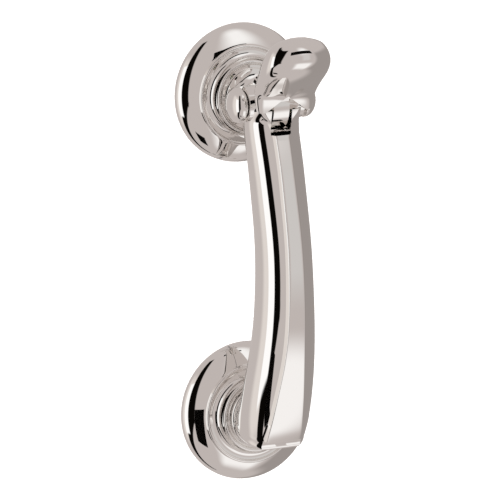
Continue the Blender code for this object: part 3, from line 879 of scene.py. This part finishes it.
    def flare_profile(self, base: float) -> list[Point]:
        """The foot: a rounded edge on the rose, then a cove up to the neck."""
        end = -self.pivot.y / MM - self.neck_stop
        edge_middle = (self.flare_radius - self.flare_edge, base + self.flare_edge)
        edge = arc(edge_middle, self.flare_edge, -90, 45, 6)
        cove = [
            edge[-1],
            (self.neck_radius + self.cove_foot[0], base + self.cove_foot[1]),
            (self.neck_radius, base + self.cove_rise),
            (self.neck_radius, base + self.flare_length),
        ]
        top = [(self.neck_radius - self.neck_ease, end), (NEAR_AXIS, end), (0, end)]
        return [(0, base), (NEAR_AXIS, base), *edge, *bezier(cove, 16)[1:], *top]

    def blade(self, base: float) -> bpy.types.Object:
        """The flat neck, from inside the flare to inside the head."""
        reach = -self.pivot.y / MM
        height = self.pivot.z / MM
        front = reach + self.knuckle_radius
        notch = height + self.notch_height
        saddle = [
            (reach + self.saddle_front[0], height + self.knuckle_radius + self.saddle_front[1]),
            (reach + self.saddle_middle[0], height + self.saddle_middle[1]),
            (reach + self.saddle_back[0], height + self.saddle_back[1]),
            (base + self.saddle_end[0], height + self.saddle_end[1]),
        ]
        outline = [
            (base + self.blade_root, height - self.blade_low),
            (reach, height - self.blade_low),
            (front - self.blade_face, height),
            (front + self.blade_face, notch),
            (front + self.blade_nose[0], notch + self.blade_nose[1]),
            (front + self.blade_brow[0], notch + self.blade_brow[1]),
            *bezier(saddle, 10),
            (base + self.blade_root, height + self.blade_high),
        ]
        half = self.knuckle_half - self.neck_inset
        return skin("blade", [[Vector((x, -r, z)) * MM for r, z in outline] for x in (-half, half)])


@dataclass(frozen=True)
class HandleStation:
    """A section of the handle between the throat (down = 0) and the toe (down = 1)."""

    down: float
    bow: float
    depth: float
    rake: float
    half_width: float
    panel: float
    heel: float = 0.0


@dataclass(frozen=True)
class ShoulderStation:
    """A section above the throat: its front by turn and swell about the pivot, its back from the pivot."""

    turn: float
    swell: float
    back_reach: float
    back_height: float
    half_width: float
    panel: float


@dataclass
class SwingingHandle:
    """The curved handle: eared at the top, with a raised front panel and a heel at the foot."""

    pivot: Vector
    striker_face: float
    drop: float
    node: str = "handle_bar"
    ear_radius: float = 8.0
    ear_half: float = 13.0
    slot_half: float = 4.8
    shoulder: float = 12.7
    knuckle: float = 12.8
    throat_drop: float = 14.0
    throat_reach: float = 13.0
    toe_drop: float = 8.6
    toe_depth: float = 22.2
    panel_lift: float = 1.8
    chamfer: float = 1.1
    edge_round: float = 0.5
    crown: float = 0.12
    lip: float = 2.4
    foot_round: float = 2.2
    ear_bore: float = 4.5
    widest: float = 0.575
    edge_share: float = 0.4
    round_power: float = 0.95
    heel_square: float = 0.55
    slot_reach: float = 25.0
    slot_height: float = 30.0
    lip_step: float = 0.0015
    lip_lift: float = 0.02
    shoulders: tuple[ShoulderStation, ...] = (
        ShoulderStation(8.0, 0.0, -6.4, -3.5, 12.6, 8.2),
        ShoulderStation(16.0, 0.0, -7.4, -5.0, 12.8, 7.4),
        ShoulderStation(24.0, 0.2, -8.0, -7.0, 12.8, 6.2),
        ShoulderStation(33.0, 1.2, -8.4, -9.0, 12.6, 4.8),
        ShoulderStation(41.0, 3.6, -8.6, -11.5, 12.5, 3.7),
        ShoulderStation(47.1, 6.4, -8.6, -14.0, 12.4, 3.0),
    )
    stations: tuple[HandleStation, ...] = (
        HandleStation(0.00, 0.0, 21.6, 0.0, 12.4, 3.0),
        HandleStation(0.09, 4.4, 22.4, 0.0, 12.4, 2.9),
        HandleStation(0.19, 8.4, 23.1, 0.0, 12.4, 3.0),
        HandleStation(0.33, 13.2, 24.0, 0.0, 12.5, 3.2),
        HandleStation(0.48, 15.4, 24.8, 0.0, 13.0, 3.5),
        HandleStation(0.61, 15.2, 25.2, 0.8, 13.8, 3.9),
        HandleStation(0.72, 13.0, 25.4, 2.0, 14.8, 4.8),
        HandleStation(0.83, 9.1, 25.2, 4.4, 15.7, 6.3),
        HandleStation(0.92, 5.2, 24.8, 6.4, 15.9, 7.4, 0.4),
        HandleStation(0.96, 3.0, 23.8, 8.0, 15.7, 7.9, 0.8),
        HandleStation(1.00, 0.2, 22.2, 8.9, 15.2, 8.2, 1.0),
    )

    def build(self, shop: Workshop) -> bpy.types.Object:
        """Builds the handle and dresses it.

        Args:
            shop: Where the finish comes from.

        Returns:
            The handle.
        """
        handle = skin("polished_handle", self.rings())
        boolean(handle, pin_rod(self.pivot, "ears", self.ear_radius, self.ear_half, 144), "UNION")
        boolean(handle, self.slot_block(), "DIFFERENCE")
        boolean(handle, pin_rod(self.pivot, "ear_bore", self.ear_bore, 2 * self.ear_half, 64), "DIFFERENCE")
        smooth(handle, 26)
        shop.dress(handle, CHROME)
        shop.fit(handle, Body.HANDLE, (self.node,))
        return handle

    def slot_block(self) -> bpy.types.Object:
        """What the knuckle's slot takes out between the ears."""
        reach = -self.pivot.y / MM
        floor = self.pivot.z / MM - self.knuckle
        roof = floor + self.slot_height
        near = reach - self.slot_reach
        far = reach + self.slot_reach
        corners = [(near, floor), (far, floor), (far, roof), (near, roof)]
        sides = (-self.slot_half, self.slot_half)
        return skin("slot", [[Vector((x, -r, z)) * MM for r, z in corners] for x in sides])

    def rings(self) -> list[Ring]:
        """Every ring, from the shoulder round the pivot down to the rounded foot."""
        names = ("bow", "depth", "rake", "half_width", "panel", "heel")
        downs = [s.down for s in self.stations]
        splines = {n: Spline(downs, [getattr(s, n) for s in self.stations]) for n in names}
        lip = 1 - self.lip / self.drop
        rings = self.shoulder_rings()
        count = 120
        for i in range(1, count + 1):
            down = lip * i / count
            station = HandleStation(down, *(splines[n].at(down) for n in names))
            rings.append(self.ring(station, self.panel_lift))
        step = HandleStation(lip + self.lip_step, *(splines[n].at(lip) for n in names))
        rings.append(self.ring(step, self.lip_lift))
        for share in (0.25, 0.6, 1.0):
            down = lip + (1 - lip) * share
            station = HandleStation(down, *(splines[n].at(down) for n in names))
            rings.append(self.ring(station, self.lip_lift))
        return rings + self.rounded_foot(rings[-1], self.stations[-1].half_width)

    def shoulder_rings(self) -> list[Ring]:
        """The rings above the throat, whose front edge is an arc about the pivot."""
        reach = -self.pivot.y / MM
        height = self.pivot.z / MM
        names = ("swell", "back_reach", "back_height", "half_width", "panel")
        turns = [station.turn for station in self.shoulders]
        splines = [Spline(turns, [getattr(s, n) for s in self.shoulders]) for n in names]
        rings = []
        count = 20
        for i in range(count + 1):
            turn = turns[0] + (turns[-1] - turns[0]) * i / count
            swell, back_reach, back_height, half_width, panel = (spline.at(turn) for spline in splines)
            angle = math.radians(-turn)
            radius = self.shoulder + swell
            front = (reach + radius * math.cos(angle), height + radius * math.sin(angle))
            back = (reach + back_reach, height + back_height)
            station = HandleStation(0.0, 0.0, 0.0, 0.0, half_width, panel)
            half = self.section(station, math.dist(front, back), self.panel_lift)
            rings.append(placed(mirrored(half), front, back))
        return rings

    def front(self, station: HandleStation) -> Point:
        """Where the panel of a station stands."""
        throat = -self.pivot.y / MM + self.throat_reach
        toe = self.striker_face + FIT_GAP + self.toe_depth
        top = self.pivot.z / MM - self.throat_drop
        bottom = -self.drop - self.toe_drop
        return throat + (toe - throat) * station.down + station.bow, top + (bottom - top) * station.down

    def ring(self, station: HandleStation, lift: float) -> Ring:
        """One ring below the throat, with its back no nearer the door than the striker allows."""
        reach, height = self.front(station)
        front = (reach - self.panel_lift + lift, height)
        back = (max(reach - station.depth, self.striker_face + FIT_GAP), height + station.rake)
        return placed(mirrored(self.section(station, math.dist(front, back), lift)), front, back)

    def section(self, station: HandleStation, depth: float, lift: float) -> list[Point]:
        """Half a section: raised panel, chamfer, flank and back.

        Args:
            station: The section's sizes.
            depth: Its length from the panel to the back.
            lift: How far the panel stands above the flank's shoulder.

        Returns:
            (x, depth) points, with depth measured back from the panel.
        """
        widest = depth * self.widest
        foot = station.panel + self.chamfer
        turn = min(self.edge_round, self.edge_share * lift)
        slope = math.degrees(math.atan2(lift, self.chamfer))
        half = [(station.panel * i / 8, self.crown * (i / 8) ** 2) for i in range(8)]
        edge_middle = (station.panel - turn * math.tan(math.radians(slope / 2)), turn)
        half += [(x, fall + self.crown) for x, fall in arc(edge_middle, turn, -90, slope - 90, 6)]
        half.append((foot, lift + self.crown))
        start = math.acos(foot / station.half_width)
        reach = (widest - lift - self.crown) / math.sin(start)
        for i in range(1, 19):
            angle = start * (1 - i / 18)
            half.append((station.half_width * math.cos(angle), widest - reach * math.sin(angle)))
        squareness = self.round_power - self.heel_square * min(max(station.heel, 0.0), 1.0)
        for a in range(6, 91, 6):
            angle = math.radians(a)
            x = station.half_width * max(math.cos(angle), 0.0) ** squareness
            half.append((x, widest + (depth - widest) * math.sin(angle) ** squareness))
        half[-1] = (0.0, depth)
        return half

    def rounded_foot(self, ring: Ring, width: float) -> list[Ring]:
        """Rings that round the foot off below its last section.

        Args:
            ring: The last section's ring.
            width: Its half width in millimetres.

        Returns:
            The rings below it.
        """
        middle = sum(ring, Vector()) / len(ring)
        made = []
        for a in range(15, 91, 15):
            inset = self.foot_round * (1 - math.cos(math.radians(a))) / width
            drop = Vector((0, 0, -self.foot_round * MM * math.sin(math.radians(a))))
            made.append([middle + (point - middle) * (1 - inset) + drop for point in ring])
        return made


@dataclass
class CarriedNodes:
    """CAD nodes whose shape is right and which only take a finish."""

    finishes: dict[str, tuple[Finish, Slot]] = field(
        default_factory=lambda: {
            "upper_locating_peg": (ZINC, Slot.STEEL),
            "lower_locating_peg": (ZINC, Slot.STEEL),
            "upper_fixing_stud": (ZINC, Slot.STEEL),
            "lower_fixing_stud": (ZINC, Slot.STEEL),
            "upper_inner_washer": (ZINC, Slot.STEEL),
            "lower_inner_washer": (ZINC, Slot.STEEL),
            "upper_dome_nut": (CHROME, Slot.CHROME),
            "lower_dome_nut": (CHROME, Slot.CHROME),
            "pivot_pin": (ZINC, Slot.STEEL),
            "grub_screw": (ZINC, Slot.STEEL),
            "thrust_washer_left": (NYLON, Slot.NYLON),
            "thrust_washer_right": (NYLON, Slot.NYLON),
            "pivot_bush_left": (NYLON, Slot.NYLON),
            "pivot_bush_right": (NYLON, Slot.NYLON),
            "upper_gasket": (RUBBER, Slot.RUBBER),
            "lower_gasket": (RUBBER, Slot.RUBBER),
        }
    )

    def build(self, shop: Workshop) -> None:
        """Dresses each node.

        Args:
            shop: Where the finishes come from.
        """
        for name, (finish, slot) in self.finishes.items():
            node = frame["nodes"][name]
            shop.dress(node, finish)
            LOG.info("%s: %s", name, finish.name)


# Studio


@dataclass(frozen=True)
class Card:
    """A soft-edged card in the studio, seen from the knocker.

    Turn is its bearing in degrees from straight out of the door, positive to the knocker's left, and
    lift is its angle above level. Lean is how far its sides move in turn for each degree of lift.
    """

    turn: tuple[float, float]
    lift: tuple[float, float]
    soft: float
    colour: str
    strength: float = 1.0
    lean: float = 0.0


def board(name: str, corners: list[tuple[float, float, float]], paint: Finish) -> bpy.types.Object:
    """A flat staged board.

    Args:
        name: Its name.
        corners: Its corners, in metres.
        paint: What it is painted with.

    Returns:
        The board, not yet staged.
    """
    mesh = bpy.data.meshes.new(name)
    mesh.from_pydata(corners, [], [(0, 1, 2, 3)])
    made = bpy.data.objects.new(name, mesh)
    bpy.context.scene.collection.objects.link(made)
    mesh.materials.append(paint.material())
    return made


@dataclass(frozen=True)
class Velvet(Finish):
    """Black velvet, whose pile gives back no gloss at all."""

    def dress(self, tree: bpy.types.NodeTree, shader: bpy.types.Node) -> None:
        """Takes the gloss off."""
        shader.inputs["Specular IOR Level"].default_value = 0.0


@dataclass(frozen=True)
class Flag:
    """A black card close to the knocker that only its reflections show: middle, width and height in mm."""

    name: str
    middle: tuple[float, float, float]
    size: tuple[float, float]

    def build(self) -> None:
        """Adds the card, upright and square to the door."""
        wide, tall = (side * MM / 2 for side in self.size)
        corners = [(-wide, 0, -tall), (wide, 0, -tall), (wide, 0, tall), (-wide, 0, tall)]
        card = board(self.name, corners, Velvet(self.name + "_velvet", "0A0908", 1.0))
        card.location = Vector(self.middle) * MM
        card.visible_camera = False
        card.visible_shadow = False
        card.visible_diffuse = False


@dataclass
class Studio:
    """A pale tent with cards in it, a floor and the camera."""

    tent: str = "C6BEBB"
    cards: tuple[Card, ...] = (
        Card((-150, -58), (-60, 20), 14, "A09996"),
        Card((-46, 4), (-62, -30), 16, "FFFDFC"),
        Card((-42, -6), (24, 66), 28, "FFFEFD"),
        Card((-36, -12), (-12, 20), 12, "D2CFCD"),
        Card((60, 112), (-42, 38), 18, "E6DFDA"),
        Card((28, 54), (-84, -14), 3, "0A0806", lean=-0.75),
        Card((39.5, 63), (-18, 62), 2.5, "0A0806"),
        Card((63, 88), (-31, 29), 3, "FFFFFF", 1.1),
    )
    flags: tuple[Flag, ...] = (
        Flag("head_flag", (14, -116, 68), (84, 30)),
        Flag("foot_flag", (-86, -105, -200), (48, 104)),
    )
    azimuth: float = -24.0
    elevation: float = 11.5
    roll: float = -1.07
    distance: float = 4.0
    frame_width: float = 220.3
    aside: float = 3.57
    above: float = 0.5
    floor_depth: float = 0.55
    floor_half: float = 30.0
    light_energy: float = 3.6
    light_spread: float = 60.0
    light_tilt: Point = (20.0, -15.0)

    def build(self) -> None:
        """Makes the world, the lights, the floor and the camera."""
        self.build_world()
        for flag in self.flags:
            flag.build()
        self.build_floor()
        self.build_lights()
        self.build_camera()

    def build_world(self) -> None:
        """The tent as a world that is fixed in space, with plain white behind the knocker for the eye."""
        world = bpy.data.worlds.new("pale_tent")
        bpy.context.scene.world = world
        world.use_nodes = True
        tree = world.node_tree
        tree.nodes.clear()
        direction = add_node(tree, "ShaderNodeTexCoord").outputs["Generated"]
        split = add_node(tree, "ShaderNodeSeparateXYZ", links={"Vector": direction})
        multiply = {"operation": "MULTIPLY"}
        left = add_node(tree, "ShaderNodeMath", multiply, {0: split.outputs["X"]})
        left.inputs[1].default_value = -1.0
        out = add_node(tree, "ShaderNodeMath", multiply, {0: split.outputs["Y"]})
        out.inputs[1].default_value = -1.0
        ends = {0: left.outputs[0], 1: out.outputs[0]}
        turn = add_node(tree, "ShaderNodeMath", {"operation": "ARCTAN2"}, ends)
        lift = add_node(tree, "ShaderNodeMath", {"operation": "ARCSINE"}, {0: split.outputs["Z"]})
        colour = add_node(tree, "ShaderNodeRGB").outputs[0]
        colour.default_value = linear(self.tent)
        for card in self.cards:
            angles = {0: lift.outputs[0], 2: turn.outputs[0]}
            upright = add_node(tree, "ShaderNodeMath", {"operation": "MULTIPLY_ADD"}, angles)
            upright.inputs[1].default_value = -card.lean
            across = self.band(tree, upright.outputs[0], card.turn, card.soft)
            along = self.band(tree, lift.outputs[0], card.lift, card.soft)
            mask = add_node(tree, "ShaderNodeMath", multiply, {0: across, 1: along})
            paint = add_node(tree, "ShaderNodeMix", {"data_type": "RGBA"})
            tree.links.new(mask.outputs[0], paint.inputs[0])
            tree.links.new(colour, paint.inputs[6])
            red, green, blue = (card.strength * c for c in linear(card.colour)[:3])
            paint.inputs[7].default_value = (red, green, blue, 1.0)
            colour = paint.outputs[2]
        seen = add_node(tree, "ShaderNodeLightPath").outputs["Is Camera Ray"]
        choice = add_node(tree, "ShaderNodeMix", {"data_type": "RGBA"})
        tree.links.new(seen, choice.inputs[0])
        tree.links.new(colour, choice.inputs[6])
        choice.inputs[7].default_value = (1.0, 1.0, 1.0, 1.0)
        background = add_node(tree, "ShaderNodeBackground", links={"Color": choice.outputs[2]}, Strength=1.0)
        add_node(tree, "ShaderNodeOutputWorld", links={"Surface": background.outputs[0]})

    def band(
        self, tree: bpy.types.NodeTree, angle: bpy.types.NodeSocket, span: Point, soft: float
    ) -> bpy.types.NodeSocket:
        """A mask that is 1 inside a span of angles and fades out over its soft edge.

        Args:
            tree: The world's node tree.
            angle: The angle, in radians.
            span: The span, in degrees.
            soft: The width of each faded edge, in degrees.

        Returns:
            The mask's socket.
        """
        low, high = (math.radians(value) for value in span)
        fade = math.radians(soft)
        eased = {"interpolation_type": "SMOOTHSTEP"}
        rise = {"From_Min": low - fade / 2, "From_Max": low + fade / 2}
        fall = {"From_Min": high + fade / 2, "From_Max": high - fade / 2}
        rising = add_node(tree, "ShaderNodeMapRange", eased, {"Value": angle}, **rise)
        falling = add_node(tree, "ShaderNodeMapRange", eased, {"Value": angle}, **fall)
        ends = {0: rising.outputs["Result"], 1: falling.outputs["Result"]}
        return add_node(tree, "ShaderNodeMath", {"operation": "MULTIPLY"}, ends).outputs[0]

    def build_floor(self) -> None:
        """A wide pale floor, which the polished metal doesn't pick up."""
        half = self.floor_half
        corners = [(-half, -half, 0), (half, -half, 0), (half, half, 0), (-half, half, 0)]
        floor = board("pale_floor", corners, Finish("matt_white_board", "F7F7F7", 0.9))
        floor.location = (0, 0, -self.floor_depth)
        floor.visible_glossy = False

    def build_lights(self) -> None:
        """A broad overhead light that brings the floor up to white."""
        data = bpy.data.lights.new("overhead_softbox", "SUN")
        data.energy = self.light_energy
        data.angle = math.radians(self.light_spread)
        light = bpy.data.objects.new("overhead_softbox", data)
        tilt = [math.radians(angle) for angle in self.light_tilt]
        light.rotation_euler = (*tilt, 0)
        light.visible_glossy = False
        bpy.context.scene.collection.objects.link(light)

    def build_camera(self) -> None:
        """A long lens level with the knocker's left, a little above it."""
        data = bpy.data.cameras.new("camera")
        camera = bpy.data.objects.new("camera", data)
        bpy.context.scene.collection.objects.link(camera)
        upper = node_centre("upper_rose")
        lower = node_centre("lower_rose")
        target = Vector((0, 0, (upper.z + lower.z) / 2 + self.above * MM))
        a = math.radians(self.azimuth)
        e = math.radians(self.elevation)
        back = Vector((math.sin(a) * math.cos(e), -math.cos(a) * math.cos(e), math.sin(e)))
        level = (-back).to_track_quat("-Z", "Y").to_matrix().to_4x4()
        rotation = level @ Matrix.Rotation(math.radians(self.roll), 4, "Z")
        aim = target + rotation.to_3x3() @ Vector((self.aside * MM, 0, 0))
        camera.matrix_world = Matrix.Translation(aim + back * self.distance) @ rotation
        data.sensor_width = 36.0
        data.lens = data.sensor_width * self.distance / (self.frame_width * MM)
        data.clip_end = 100.0
        bpy.context.scene.camera = camera


def main() -> None:
    """Builds each sub-assembly and the studio."""
    logging.basicConfig(level=logging.INFO, format="%(name)s %(message)s")
    shop = Workshop()
    joint = next(j for j in frame["joints"] if j["name"] == "handle_swing")
    pivot = Vector(joint["pos_m"])
    striker_low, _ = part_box("striker_button")
    lower = node_centre("lower_rose")
    for node in ("upper_rose", "lower_rose"):
        Rose(node).build(shop)
    Striker().build(shop)
    Pivot(pivot).build(shop)
    HangerArm(pivot).build(shop)
    SwingingHandle(pivot, striker_face=-striker_low[1] / MM, drop=-lower.z / MM).build(shop)
    CarriedNodes().build(shop)
    Studio().build()
    bpy.context.scene.view_settings.view_transform = "Standard"


if __name__ == "__main__":
    main()
